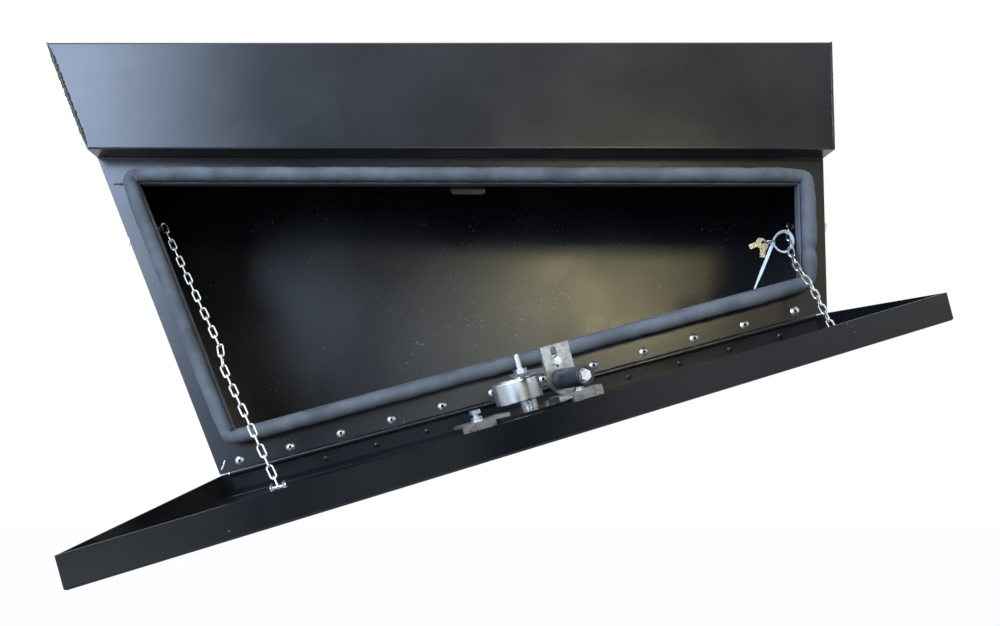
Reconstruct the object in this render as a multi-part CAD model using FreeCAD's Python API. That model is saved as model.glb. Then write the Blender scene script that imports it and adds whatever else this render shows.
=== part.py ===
import FreeCAD, Part
import math
import os

# Underbody tool box of folded sheet steel with a drop-down door, in millimetres.
# X runs to the right along the front, Y runs into the box and Z runs up. The origin is on
# the top mounting face, above the middle of the plane of the front frame.

Vector = FreeCAD.Vector
X_AXIS = Vector(1, 0, 0)
Y_AXIS = Vector(0, 1, 0)
Z_AXIS = Vector(0, 0, 1)

# Body shell
box_width = 900.0
box_depth = 234.0
left_drop = 495.0
left_lean = 0.411
hinge_slope = math.radians(15.3)
hood_reach = 36.0
hood_height = 125.0
sheet = 1.6
fold_radius = 0.8

# Holes in the top for the bolts that hang the box from the truck's tray
hanger_spacing_x = 760.0
hanger_spacing_y = 150.0
hanger_front = 24.0
hanger_hole_radius = 5.5

# Front frame round the opening: flange widths to the opening, and the lip that stands out
rim_left = 33.5
rim_right = 32.0
rim_top = 31.4
rim_bottom = 41.2
lip_height = 13.0

# Rubber trim on the lip: a channel that grips the lip and a round sponge bulb before it
channel_leg = 2.6
channel_back = 3.2
channel_web = 2.5
bulb_radius = 8.2
bulb_hang = 1.0
bulb_bend = 10.0
bulb_squeeze_gap = 0.4

# Continuous hinge along the sloping lower edge
axis_drop = 1.8
axis_front = 4.0
leaf_sheet = 1.2
leaf_width = 20.0
leaf_root = 0.8
knuckle_radius = 3.2
knuckle_count = 23
knuckle_gap = 0.3
pin_radius = 1.75
running_play = 0.05
hinge_start = 12.4
hinge_finish = 15.5
rivet_row = 11.8
frame_rivet_first = 26.0
frame_rivet_last = 36.15
frame_rivet_count = 12
frame_rivet_head = 5.0
door_rivet_first = 62.0
door_rivet_count = 11
door_rivet_head = 3.6
rivet_head_height = 1.7
rivet_shank = 2.4
rivet_tail = 3.2
rivet_tail_length = 1.2
mandrel_radius = 1.1

# Door tray
tray_depth = 28.0
hood_gap = 3.0
door_angle = math.radians(95.354)
tray_fold = 2.4

# Compression lock: its spindle on the door, and the way its roller arm points
lock_left_of_middle = 10.125
lock_up = 121.4
arm_angle = math.radians(23.5)

# Dish, sleeve and clamping claws of the lock
dish_radius = 44.0
dish_sheet = 1.2
dish_flange = 56.0
dish_flange_sheet = 1.5
gasket_thickness = 1.5
dish_clearance = 0.8
dish_floor = -7.0
sleeve_radius = 9.0
sleeve_collar = 12.0
sleeve_collar_height = 1.5
sleeve_top = 2.7
claw_near = 30.0
claw_far = 84.0
claw_width = 22.0
claw_sheet = 3.0
claw_flange_gap = 1.5
jack_offset = 62.0
jack_radius = 3.0
jack_head_width = 10.0
jack_head_height = 4.0
jack_proud = 3.0
jack_nut_height = 4.0

# Spring drum
drum_radius = 24.5
drum_offset = 9.0
drum_sheet = 1.2
drum_height = 22.3
cap_radius = 18.0
cap_offset = 8.0
cap_height = 1.0
washer_radius = 9.0
washer_height = 1.0
washer_gap = 0.1
spring_inner = 7.5
spring_wire = 2.2
spring_gap = 0.15
collar_radius = 9.5
collar_height = 1.5

# Spindle, T-handle and key barrel
handle_pull = 5.0
spindle_radius = 5.0
tail_radius = 2.9
tail_top = 49.6
spindle_nut_width = 12.0
spindle_nut_height = 4.0
pivot_height = -22.5
pivot_radius = 1.95
tongue_thickness = 6.0
tongue_radius = 5.0
tongue_top = -16.2
ear_thickness = 4.0
ear_radius = 6.0
ear_play = 0.1
stem_thickness = 8.0
stem_length = 24.0
grip_radius = 5.0
grip_length = 60.0
barrel_radius = 4.5
barrel_offset = 13.5
barrel_depth = 7.0
barrel_proud = 0.4
keyway_width = 1.2
keyway_length = 5.0

# Roller arm
cam_bottom = 27.2
cam_sheet = 3.0
cam_width = 24.0
cam_leg_top = 41.0
bracket_reach = 70.0
bracket_sheet = 3.0
bracket_width = 32.0
bracket_shift = 2.5
bracket_bottom = 2.0
bracket_top = 51.0
slot_width = 6.4
slot_length = 20.0
slot_centre = 39.0
slot_bolt_radius = 2.5
slot_bolt_height = 35.3
slot_head_width = 8.0
bolt_head_width = 10.0
bolt_head_height = 3.5
bolt_nut_height = 4.5
roller_height = 17.2
roller_radius = 9.75
roller_length = 42.0
roller_spacer = 2.6
roller_bolt_radius = 3.0
counterbore_radius = 7.0
counterbore_depth = 4.0
roller_washer_radius = 6.4
roller_washer_height = 1.2
roller_gap = 0.1

# Strike plate behind the top flange, which the roller turns onto
strike_shift = 43.5
strike_width = 40.0
strike_drop = 8.5
strike_lap = 16.0

# Chains: round wire links, their lugs on the door and their bolts in the side walls
link_pitch = 13.35
link_play = 0.2
wire_radius = 1.1
link_width = 8.4
lug_pin_radius = 1.6
lug_pin_height = 8.4
lug_pin_play = 0.3
lug_gap = 11.0
lug_sheet = 1.6
lug_width = 12.0
lug_foot = 6.0
lug_ear_over = 4.5
lug_pin_head = 3.0
lug_pin_head_height = 1.2
left_lug_along = 82.0
left_lug_up = 124.0
left_chain_way = Vector(-0.458, 0.378, 0.810)
left_link_count = 28
left_fold_count = 13
right_lug_end_gap = 47.15
right_lug_up = 119.0
right_chain_way = Vector(-0.032, 0.70, 0.716)
right_chain_top_way = Vector(0.125, 0.585, 0.801)
right_link_count = 11
right_top_count = 4
right_fold_count = 8
wall_bolt_radius = 3.0
wall_bolt_head_width = 10.0
wall_bolt_head_height = 4.0
wall_bolt_gap = 0.5

# Cable tie with the two spare keys on the right chain
tie_station = 24.8
tie_shift = 6.6
tie_radius = 11.5
tie_thickness = 1.1
tie_width = 3.2
tie_head_size = 5.0
tie_head_angle = math.radians(186)
tie_tail_way = Vector(-0.39, 0.0, -0.921)
tie_tail_length = 58.0
ring_radius = 7.0
ring_wire = 0.9
ring_hang = 0.5
key_thickness = 1.8
key_gap = 0.6
key_bow_radius = 6.0
key_hole_radius = 2.0
key_blade_width = 6.0
key_blade_length = 8.0
key_swings = (70.0, 3.0)

# Weld beads
bead_radius = 1.4


def save(name, shapes):
    """Write one piece, or a group of like pieces, as one STEP file."""
    if isinstance(shapes, list):
        shape = Part.makeCompound(shapes)
    else:
        shape = shapes
    shape.exportStep("parts/" + name + ".step")
    print(name, "solids", len(shape.Solids), "valid", shape.isValid(), "volume", round(shape.Volume, 1))


def axes(origin, x_way, y_way, z_way):
    """A placement that carries local X, Y and Z to three square directions at a point."""
    return FreeCAD.Placement(FreeCAD.Matrix(
        x_way.x, y_way.x, z_way.x, origin.x,
        x_way.y, y_way.y, z_way.y, origin.y,
        x_way.z, y_way.z, z_way.z, origin.z,
        0, 0, 0, 1))


def put(shape, place):
    """A copy of a shape, carried to a placement."""
    moved = shape.copy()
    moved.Placement = place.multiply(moved.Placement)
    return moved


def fuse(shapes):
    """Join overlapping or touching shapes into one clean solid."""
    whole = shapes[0]
    for other in shapes[1:]:
        whole = whole.fuse(other)
    return whole.removeSplitter()


def cut(shape, tools):
    """Take several tools away from a shape."""
    for tool in tools:
        shape = shape.cut(tool)
    return shape


def prism(points, way):
    """A flat outline pushed along a direction."""
    return Part.Face(Part.makePolygon(points + [points[0]])).extrude(way)


def upright(outline, y_low, y_high):
    """A plate parallel to the front, from X and Z points."""
    return prism([Vector(x, y_low, z) for x, z in outline], Y_AXIS * (y_high - y_low))


def flat(outline, low, high):
    """A plate square to local Z, from X and Y points."""
    return prism([Vector(x, y, low) for x, y in outline], Z_AXIS * (high - low))


def block(x_low, x_high, y_low, y_high, z_low, z_high):
    """A rectangular block between corner coordinates."""
    return Part.makeBox(x_high - x_low, y_high - y_low, z_high - z_low, Vector(x_low, y_low, z_low))


def disc(radius, low, high, x=0.0, y=0.0):
    """An upright cylinder in local axes."""
    return Part.makeCylinder(radius, high - low, Vector(x, y, low))


def tube(outer, inner, low, high, x=0.0, y=0.0):
    """An upright pipe in local axes."""
    return disc(outer, low, high, x, y).cut(disc(inner, low, high, x, y))


def rod(radius, start, end):
    """A round bar between two points."""
    way = end - start
    return Part.makeCylinder(radius, way.Length, start, way)


def hexagon(width, start, way, height):
    """A six-sided prism with a given width across its flats."""
    corner = width / math.sqrt(3)
    points = []
    for i in range(6):
        turn = math.radians(60 * i)
        points.append(Vector(corner * math.cos(turn), corner * math.sin(turn), 0))
    solid = prism(points, Z_AXIS * height)
    solid.Placement = FreeCAD.Placement(start, FreeCAD.Rotation(Z_AXIS, way))
    return solid


def inset(outline, gaps):
    """Move each side of an anticlockwise outline inwards by its own gap."""
    count = len(outline)
    lines = []
    for i in range(count):
        ax, az = outline[i]
        bx, bz = outline[(i + 1) % count]
        length = math.hypot(bx - ax, bz - az)
        dx = (bx - ax) / length
        dz = (bz - az) / length
        lines.append((ax - dz * gaps[i], az + dx * gaps[i], dx, dz))
    corners = []
    for i in range(count):
        px, pz, ux, uz = lines[i - 1]
        qx, qz, vx, vz = lines[i]
        t = ((qx - px) * vz - (qz - pz) * vx) / (ux * vz - uz * vx)
        corners.append((px + ux * t, pz + uz * t))
    return corners


def folded_strip(path, thickness, length):
    """A sheet folded along a path of Y and Z points, to the left of the way, pushed along X."""
    count = len(path)
    ways = []
    for i in range(count - 1):
        dy = path[i + 1][0] - path[i][0]
        dz = path[i + 1][1] - path[i][1]
        reach = math.hypot(dy, dz)
        ways.append((dy / reach, dz / reach))
    outside = []
    inside = []
    for i in range(count):
        y, z = path[i]
        before = ways[max(i - 1, 0)]
        after = ways[min(i, count - 2)]
        ny = -(before[1] + after[1])
        nz = before[0] + after[0]
        scale = thickness / (1 + before[0] * after[0] + before[1] * after[1])
        outside.append(Vector(0, y, z))
        inside.append(Vector(0, y + ny * scale, z + nz * scale))
    body = prism(outside + inside[::-1], X_AXIS * length)
    for i in range(1, count - 1):
        turn_left = ways[i - 1][0] * ways[i][1] - ways[i - 1][1] * ways[i][0] > 0
        sharp = [(inside[i], fold_radius), (outside[i], fold_radius + thickness)]
        if not turn_left:
            sharp = [(inside[i], fold_radius + thickness), (outside[i], fold_radius)]
        for corner, radius in sharp:
            edges = []
            for edge in body.Edges:
                middle = edge.CenterOfMass
                if abs(middle.y - corner.y) < 1e-6 and abs(middle.z - corner.z) < 1e-6:
                    edges.append(edge)
            body = body.makeFillet(radius, edges)
    return body


# Outline of the body seen from the front, anticlockwise: floor, right wall, top, left wall
half_width = box_width / 2
left_foot = (-half_width + left_lean * left_drop, -left_drop)
right_foot = (half_width, -left_drop + (half_width - left_foot[0]) * math.tan(hinge_slope))
body_outline = [left_foot, right_foot, (half_width, 0.0), (-half_width, 0.0)]
inner_outline = inset(body_outline, [sheet, sheet, sheet, sheet])
opening_top = -(hood_height + rim_top)
opening = inset(body_outline, [rim_bottom, rim_right, -opening_top, rim_left])

# Hinge axis and the two frames that share it: the front frame's and the door's
along = Vector(math.cos(hinge_slope), 0, math.sin(hinge_slope))
upward = Vector(-math.sin(hinge_slope), 0, math.cos(hinge_slope))
hinge_origin = Vector(left_foot[0], -axis_front, left_foot[1]) - upward * axis_drop
door_out = upward * math.cos(door_angle) - Y_AXIS * math.sin(door_angle)
door_in = Y_AXIS * math.cos(door_angle) + upward * math.sin(door_angle)
edge_frame = axes(hinge_origin, upward, along, Y_AXIS)
door_frame = axes(hinge_origin, door_out, along, door_in)
edge_length = math.hypot(right_foot[0] - left_foot[0], right_foot[1] - left_foot[1])


def on_edge(x, z):
    """How far a front point lies up from the hinge axis and along it."""
    gap = Vector(x, -axis_front, z) - hinge_origin
    return gap.dot(upward), gap.dot(along)


def side_strip(outer, inner, side, y_low, y_high):
    """One side of a mitred ring between two outlines."""
    after = (side + 1) % len(outer)
    return upright([outer[side], outer[after], inner[after], inner[side]], y_low, y_high)


def lip(side):
    """The lip that stands out along one side of the opening."""
    back = inset(opening, [-sheet] * 4)
    return side_strip(back, opening, side, -lip_height, 0.0)


def left_side_panel():
    """Left wall with its half of the hood's end, its front flange and its lip."""
    wall_line = [body_outline[3], left_foot, inner_outline[0], inner_outline[3]]
    top_inner = (inner_outline[3][0] - left_lean * sheet, 0.0)
    wall_line[3] = top_inner
    wall = upright(wall_line, 0.0, box_depth)
    hood_end = upright(wall_line, -hood_reach, 0.0)
    hood_end = hood_end.common(block(-half_width, 0, -hood_reach, 0, -hood_height, 0))
    strip = side_strip(body_outline, opening, 3, 0.0, sheet)
    strip = strip.common(block(-half_width, 0, 0, sheet, -left_drop, opening_top))
    bolt_hole = rod(wall_bolt_radius + running_play, left_bolt_tip, left_bolt_seat - left_wall_in * 9)
    return cut(fuse([wall, hood_end, strip, lip(3)]), [bolt_hole])


def right_side_panel():
    """Right wall with its half of the hood's end, its front flange and its lip."""
    inner_x = half_width - sheet
    wall = upright([right_foot, body_outline[2], (inner_x, 0.0), inner_outline[1]], 0.0, box_depth)
    hood_end = block(inner_x, half_width, -hood_reach, 0, -hood_height, 0)
    strip = side_strip(body_outline, opening, 1, 0.0, sheet)
    strip = strip.common(block(0, half_width, 0, sheet, -left_drop, opening_top))
    bolt_hole = rod(wall_bolt_radius + running_play, right_bolt_tip, right_bolt_tip + X_AXIS * 60)
    return cut(fuse([wall, hood_end, strip, lip(1)]), [bolt_hole])


def floor_panel():
    """Sloping floor with its front flange and lip, drilled for the hinge rivets."""
    floor = upright([left_foot, right_foot, inner_outline[1], inner_outline[0]], 0.0, box_depth)
    strip = side_strip(body_outline, opening, 0, 0.0, sheet)
    side_walls = upright(inset(body_outline, [0, sheet, 0, sheet]), -lip_height, box_depth)
    folded = fuse([floor, strip, lip(0)]).common(side_walls)
    strips = [side_strip(body_outline, opening, side, 0.0, sheet) for side in (1, 3)]
    folded = cut(folded, strips)
    holes = []
    for place in rivet_places(frame_rivet_first, frame_rivet_count):
        hole = disc(rivet_shank, 0.0, axis_front + 2 * sheet, rivet_row, place)
        holes.append(put(hole, edge_frame))
    return cut(folded, holes)


def hood_panel():
    """Top, front band, underside and top flange, folded from one sheet, with its lip."""
    path = [
        (sheet, opening_top),
        (sheet, -hood_height + sheet),
        (-hood_reach + sheet, -hood_height + sheet),
        (-hood_reach + sheet, -sheet),
        (box_depth, -sheet),
    ]
    sheet_strip = folded_strip(path, sheet, box_width)
    sheet_strip.translate(Vector(-half_width, 0, 0))
    between = upright(inset(body_outline, [0, sheet, 0, sheet]), -hood_reach, box_depth)
    hanger_holes = []
    for x in (-hanger_spacing_x / 2, hanger_spacing_x / 2):
        for y in (hanger_front, hanger_front + hanger_spacing_y):
            hanger_holes.append(disc(hanger_hole_radius, -2 * sheet, sheet, x, y))
    return cut(fuse([sheet_strip.common(between), lip(2)]), hanger_holes)


def back_panel():
    """Back wall, set between the other walls."""
    return upright(inner_outline, box_depth - sheet, box_depth)


def weld_beads():
    """Beads on the hood's end seams, the flange joints and the lower left corner."""
    beads = []
    left_in = Vector(inner_outline[3][0] - left_lean * sheet, 0, 0)
    lean = Vector(left_foot[0] + half_width, 0, -left_drop)
    lean.normalize()
    front = Y_AXIS * -hood_reach
    run = (hood_height - 2 * sheet) / -lean.z
    beads.append(rod(bead_radius, left_in + front + lean * sheet, left_in + front + lean * run))
    right_seam = Vector(half_width - sheet, -hood_reach, 0)
    beads.append(rod(bead_radius, right_seam - Z_AXIS * sheet, right_seam - Z_AXIS * (hood_height - sheet)))
    fronts = [bead.common(block(-half_width, half_width, -hood_reach - 9, -hood_reach, -hood_height, 0))
              for bead in beads]
    joints = []
    for x_low, x_high in ((-half_width - left_lean * opening_top + 6, opening[3][0] - 16),
                          (opening[2][0] + 16, half_width - 4)):
        joint = rod(bead_radius * 0.7, Vector(x_low, 0, opening_top), Vector(x_high, 0, opening_top))
        joints.append(joint.common(block(-half_width, half_width, -9, 0, -left_drop, 0)))
    corner_in = Vector(opening[0][0] - left_foot[0], 0, opening[0][1] - left_foot[1])
    corner_in.normalize()
    corner = Vector(left_foot[0], 0, left_foot[1])
    mitre = rod(bead_radius * 0.7, corner + corner_in * 5, corner + corner_in * 17)
    joints.append(mitre.common(block(-half_width, half_width, -9, 0, -left_drop, 0)))
    return fronts + joints


def rounded_path(corners, radius, y):
    """A closed loop through corners with round turns, as a wire at one depth."""
    count = len(corners)
    points = [Vector(x, y, z) for x, z in corners]
    edges = []
    starts = []
    ends = []
    arcs = []
    for i in range(count):
        before = (points[i - 1] - points[i]).normalize()
        after = (points[(i + 1) % count] - points[i]).normalize()
        half = before.getAngle(after) / 2
        setback = radius / math.tan(half)
        middle_way = (before + after).normalize()
        centre = points[i] + middle_way * (radius / math.sin(half))
        starts.append(points[i] + before * setback)
        ends.append(points[i] + after * setback)
        arcs.append(centre - middle_way * radius)
    for i in range(count):
        edges.append(Part.Arc(starts[i], arcs[i], ends[i]).toShape())
        edges.append(Part.LineSegment(ends[i], starts[(i + 1) % count]).toShape())
    return Part.Wire(edges), starts[0], (points[0] - starts[0]).normalize()


def door_seal():
    """Channel that grips the lip all round, with the round bulb in front of it."""
    inner_face = inset(opening, [channel_leg] * 4)
    lip_back = inset(opening, [-sheet] * 4)
    outer_face = inset(opening, [-(sheet + channel_back)] * 4)
    web_front = -(lip_height + channel_web)
    legs = [
        upright(opening, web_front, 0.0).cut(upright(inner_face, web_front, 0.0)),
        upright(outer_face, web_front, 0.0).cut(upright(lip_back, web_front, 0.0)),
        upright(lip_back, web_front, -lip_height).cut(upright(opening, web_front, -lip_height)),
    ]
    bulb_front = panel_inside_closed + bulb_squeeze_gap
    bulb_line = inset(inner_face, [bulb_hang - bulb_radius] * 4)
    path, start, way = rounded_path(bulb_line, bulb_bend, bulb_front + bulb_radius)
    ring = Part.Wire(Part.makeCircle(bulb_radius, start, way))
    bulb = path.makePipeShell([ring], True, False)
    return fuse(legs + [bulb])


rivet_pitch = (edge_length - frame_rivet_first - frame_rivet_last) / (frame_rivet_count - 1)


def rivet_places(first, count):
    """Distances of a rivet row along the hinge."""
    return [first + rivet_pitch * i for i in range(count)]


def hinge_leaf(own, holes):
    """A leaf along local Y: plate out along X at the axis height, knuckles round the axis."""
    length = edge_length - hinge_start - hinge_finish
    span = length / knuckle_count
    plate = block(leaf_root, leaf_width, hinge_start, hinge_start + length,
                  axis_front - leaf_sheet, axis_front)
    clear = knuckle_radius + 2 * knuckle_gap
    pieces = []
    for i in range(knuckle_count):
        low = hinge_start + span * i
        if i % 2 == own:
            round_part = Part.makeCylinder(knuckle_radius, span - knuckle_gap,
                                           Vector(0, low + knuckle_gap / 2, 0), Y_AXIS)
            pieces.append(round_part)
        else:
            notch = block(-1, clear, low - knuckle_gap / 2, low + span + knuckle_gap / 2,
                          axis_front - 2 * leaf_sheet, axis_front + leaf_sheet)
            plate = plate.cut(notch)
    leaf = fuse([plate] + pieces)
    bore = Part.makeCylinder(pin_radius + running_play, length + 2, Vector(0, hinge_start - 1, 0), Y_AXIS)
    drills = [disc(rivet_shank, axis_front - 2 * leaf_sheet, axis_front + leaf_sheet, rivet_row, place)
              for place in holes]
    return cut(leaf, [bore] + drills)


def hinge_pin():
    """Pin through all the knuckles, with a rounded end at the left."""
    start = hinge_start - 2.0
    length = edge_length - hinge_start - hinge_finish + 3.0
    pin = Part.makeCylinder(pin_radius, length, Vector(0, start, 0), Y_AXIS)
    return put(pin, edge_frame)


def rivet(head_radius, grip):
    """A blind rivet: domed head below local Z 0, shank through the grip, set tail."""
    dome = (head_radius ** 2 + rivet_head_height ** 2) / (2 * rivet_head_height)
    head = Part.makeSphere(dome, Vector(0, 0, dome - rivet_head_height))
    head = head.common(disc(head_radius + 1, -rivet_head_height, 0))
    shank = disc(rivet_shank, -rivet_head_height / 2, grip)
    tail = disc(rivet_tail, grip, grip + rivet_tail_length)
    mandrel = disc(mandrel_radius, -rivet_head_height * 2, -rivet_head_height * 0.2)
    return fuse([head, shank, tail]).cut(mandrel)


def frame_rivets():
    """Row of rivets through the frame's leaf and the floor's flange."""
    one = rivet(frame_rivet_head, leaf_sheet + sheet)
    one.translate(Vector(rivet_row, 0, axis_front - leaf_sheet))
    return [put(moved(one, Y_AXIS * place), edge_frame)
            for place in rivet_places(frame_rivet_first, frame_rivet_count)]


def moved(shape, shift):
    """A copy of a shape, shifted."""
    copy = shape.copy()
    copy.translate(shift)
    return copy


# The door's leaf hangs from the axis along the tray's lower flange
door_leaf_place = axes(Vector(0, edge_length + hinge_start - hinge_finish, 0),
                       Z_AXIS * -1, Y_AXIS * -1, X_AXIS * -1)
flange_outside = -(axis_front + sheet)
panel_outside = -tray_depth
panel_inside = panel_outside + sheet
panel_inside_closed = panel_inside - axis_front


def mirrored_places(places):
    """Rivet places as the door's leaf sees them, since it runs the other way."""
    return [edge_length + hinge_start - hinge_finish - place for place in places]


def door_hinge_leaf():
    """Leaf riveted inside the tray's lower flange."""
    places = mirrored_places(rivet_places(door_rivet_first, door_rivet_count))
    return put(put(hinge_leaf(1, places), door_leaf_place), door_frame)


def door_rivets():
    """Small black rivets through the door's leaf and the tray's lower flange."""
    one = rivet(door_rivet_head, leaf_sheet + sheet)
    one.translate(Vector(rivet_row, 0, axis_front - leaf_sheet))
    places = mirrored_places(rivet_places(door_rivet_first, door_rivet_count))
    return [put(put(moved(one, Y_AXIS * place), door_leaf_place), door_frame) for place in places]


def door_outline():
    """Plan of the tray in the door's own axes: lower edge, right, top and left edges."""
    front = inset(body_outline, [flange_outside - axis_drop, 0.0, hood_height + hood_gap, 0.0])
    return [on_edge(x, z) for x, z in front]


def bottom_edges(body, level):
    """The edges of a plate that lie at one height in local axes."""
    found = []
    for edge in body.Edges:
        box = edge.BoundBox
        if abs(box.ZMin - level) < 1e-6 and abs(box.ZMax - level) < 1e-6:
            found.append(edge)
    return found


def plan_inset(outline, gap):
    """The tray's plan, drawn in by one gap on every side."""
    turned = [(y, x) for x, y in outline]
    inner = inset(turned, [gap] * 4)
    return [(x, y) for y, x in inner]


# Place of the lock's spindle on the door, measured from the hinge's low end
lock_along = edge_length / 2 - lock_left_of_middle


def door_tray():
    """Shallow tray: front panel with four flanges turned in towards the box."""
    outline = door_outline()
    outer = flat(outline, panel_outside, 0.0)
    outer = outer.makeFillet(tray_fold, bottom_edges(outer, panel_outside))
    hollow = flat(plan_inset(outline, sheet), panel_inside, 1.0)
    hollow = hollow.makeFillet(tray_fold - sheet, bottom_edges(hollow, panel_inside))
    tray = outer.cut(hollow)
    hole = disc(dish_radius + dish_sheet + dish_clearance, panel_outside - 1, panel_inside + 1,
                lock_up, lock_along)
    drills = []
    for place in rivet_places(door_rivet_first, door_rivet_count):
        start = Vector(flange_outside - 1, place, -rivet_row)
        drills.append(rod(rivet_shank, start, start + X_AXIS * (sheet + 2)))
    return put(cut(tray, [hole] + drills), door_frame)


# Lock axes: X along the roller arm, Y across it and Z into the box, from the door's rim plane
arm_way = door_out * math.cos(arm_angle) + along * math.sin(arm_angle)
cross_way = along * math.cos(arm_angle) - door_out * math.sin(arm_angle)
lock_origin = hinge_origin + door_out * lock_up + along * lock_along
lock_frame = axes(lock_origin, arm_way, cross_way, door_in)
dish_top = panel_outside - gasket_thickness
drum_top = sleeve_top + drum_height
stack_top = drum_top + cap_height
cam_top = cam_bottom + cam_sheet


def lock(shape):
    """Carry a lock piece from its own axes to the open door."""
    return put(shape, lock_frame)


def latch_dish():
    """Round dish in the door's face that holds the folded handle."""
    flange = disc(dish_flange, dish_top - dish_flange_sheet, dish_top)
    cup = disc(dish_radius + dish_sheet, dish_top - dish_flange_sheet, dish_floor)
    hollow = disc(dish_radius, dish_top - dish_flange_sheet - 1, dish_floor - dish_sheet)
    hole = disc(sleeve_radius, dish_floor - 2 * dish_sheet, dish_floor + 1)
    return lock(cut(fuse([flange, cup]), [hollow, hole]))


def latch_gasket():
    """Flat rubber ring between the dish's flange and the door."""
    return lock(tube(dish_flange - 1, dish_radius + dish_sheet + dish_clearance, dish_top, panel_outside))


def latch_sleeve():
    """Threaded sleeve through the dish's floor, with a collar outside."""
    under = dish_floor - dish_sheet
    body = fuse([
        disc(sleeve_collar, under - sleeve_collar_height, under),
        disc(sleeve_radius, under, sleeve_top),
    ])
    bore = disc(spindle_radius + running_play, under - 3, sleeve_top + 1)
    return lock(body.cut(bore))


def clamp_claws():
    """Two claws welded on the dish's floor, each with a front flange that stands on the door."""
    top = dish_floor + claw_sheet
    half = claw_width / 2
    flange_start = dish_radius + dish_sheet + claw_flange_gap
    claws = []
    for side in (-1, 1):
        near, far = sorted((side * claw_near, side * claw_far))
        flange_near, flange_far = sorted((side * flange_start, side * claw_far))
        body = fuse([
            block(-half, half, near, far, dish_floor, top),
            block(half - claw_sheet, half, flange_near, flange_far, panel_inside, top),
        ])
        hole = disc(jack_radius, dish_floor - 1, top + 1, 0, side * jack_offset)
        claws.append(lock(body.cut(hole)))
    return claws


def clamp_screws():
    """Jack screws from the claws down to the inside of the door."""
    head_low = dish_floor + claw_sheet + jack_nut_height + jack_proud
    screws = []
    for side in (-1, 1):
        centre = Vector(0, side * jack_offset, head_low)
        screws.append(lock(fuse([
            disc(jack_radius, panel_inside, head_low, 0, side * jack_offset),
            hexagon(jack_head_width, centre, Z_AXIS, jack_head_height),
        ])))
    return screws


def clamp_nuts():
    """Nuts on top of the claws."""
    low = dish_floor + claw_sheet
    nuts = []
    for side in (-1, 1):
        body = hexagon(jack_head_width, Vector(0, side * jack_offset, low), Z_AXIS, jack_nut_height)
        nuts.append(lock(body.cut(disc(jack_radius, low - 1, low + 9, 0, side * jack_offset))))
    return nuts


def spring_drum():
    """Plated drum round the spring, set off to one side and closed at both ends round the spindle."""
    body = disc(drum_radius, sleeve_top, drum_top, 0, -drum_offset)
    edges = [edge for edge in body.Edges if edge.Curve.TypeId == "Part::GeomCircle"]
    body = body.makeFillet(drum_sheet, edges)
    hollow = disc(drum_radius - drum_sheet, sleeve_top + drum_sheet, drum_top - drum_sheet,
                  0, -drum_offset)
    bore = disc(spindle_radius + 2 * running_play, sleeve_top - 1, drum_top + 1)
    return lock(cut(body, [hollow, bore]))


def drum_cap():
    """Disc on the drum that backs the index washer."""
    body = disc(cap_radius, drum_top, stack_top, 0, -cap_offset)
    return lock(body.cut(disc(spindle_radius + 2 * running_play, drum_top - 1, stack_top + 1)))


def index_washer():
    """Washer that turns with the spindle and stays on the drum while the spindle slides."""
    low = stack_top + washer_gap
    return lock(tube(washer_radius, spindle_radius + running_play, low, low + washer_height))


def latch_spring():
    """Plain tube that stands in for the compression spring under the spindle's collar."""
    base = sleeve_top + drum_sheet
    return lock(tube(spring_inner + spring_wire, spring_inner, base + spring_gap, collar_low - spring_gap))


# The collar sits on the spindle, low enough to rise with it under the drum's top
collar_low = drum_top - drum_sheet - handle_pull - collar_height - 2.0


def latch_spindle():
    """Spindle with its collar, its threaded tail and the tongue that carries the handle."""
    shank = disc(spindle_radius, tongue_top, cam_top)
    collar = disc(collar_radius, collar_low, collar_low + collar_height)
    tail = disc(tail_radius, cam_top, tail_top)
    tail = tail.makeFillet(tail_radius * 0.6, [tail.Edges[0]])
    half = tongue_thickness / 2
    eye = Part.makeCylinder(tongue_radius, tongue_thickness, Vector(0, -half, pivot_height), Y_AXIS)
    neck = block(-spindle_radius * 0.8, spindle_radius * 0.8, -half, half, pivot_height, tongue_top)
    hole = Part.makeCylinder(pivot_radius + running_play, tongue_thickness + 2,
                             Vector(0, -half - 1, pivot_height), Y_AXIS)
    return lock(fuse([shank, collar, tail, eye, neck]).cut(hole))


def spindle_nut():
    """Nut on the spindle's tail that clamps the roller arm to its shoulder."""
    nut = hexagon(spindle_nut_width, Vector(0, 0, cam_top), Z_AXIS, spindle_nut_height)
    return lock(nut.cut(disc(tail_radius, cam_top - 1, cam_top + spindle_nut_height + 1)))


def handle_pivot_pin():
    """Pin through the handle's ears and the spindle's tongue."""
    reach = tongue_thickness / 2 + ear_play + ear_thickness
    return lock(Part.makeCylinder(pivot_radius, 2 * reach, Vector(0, -reach, pivot_height), Y_AXIS))


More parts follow.
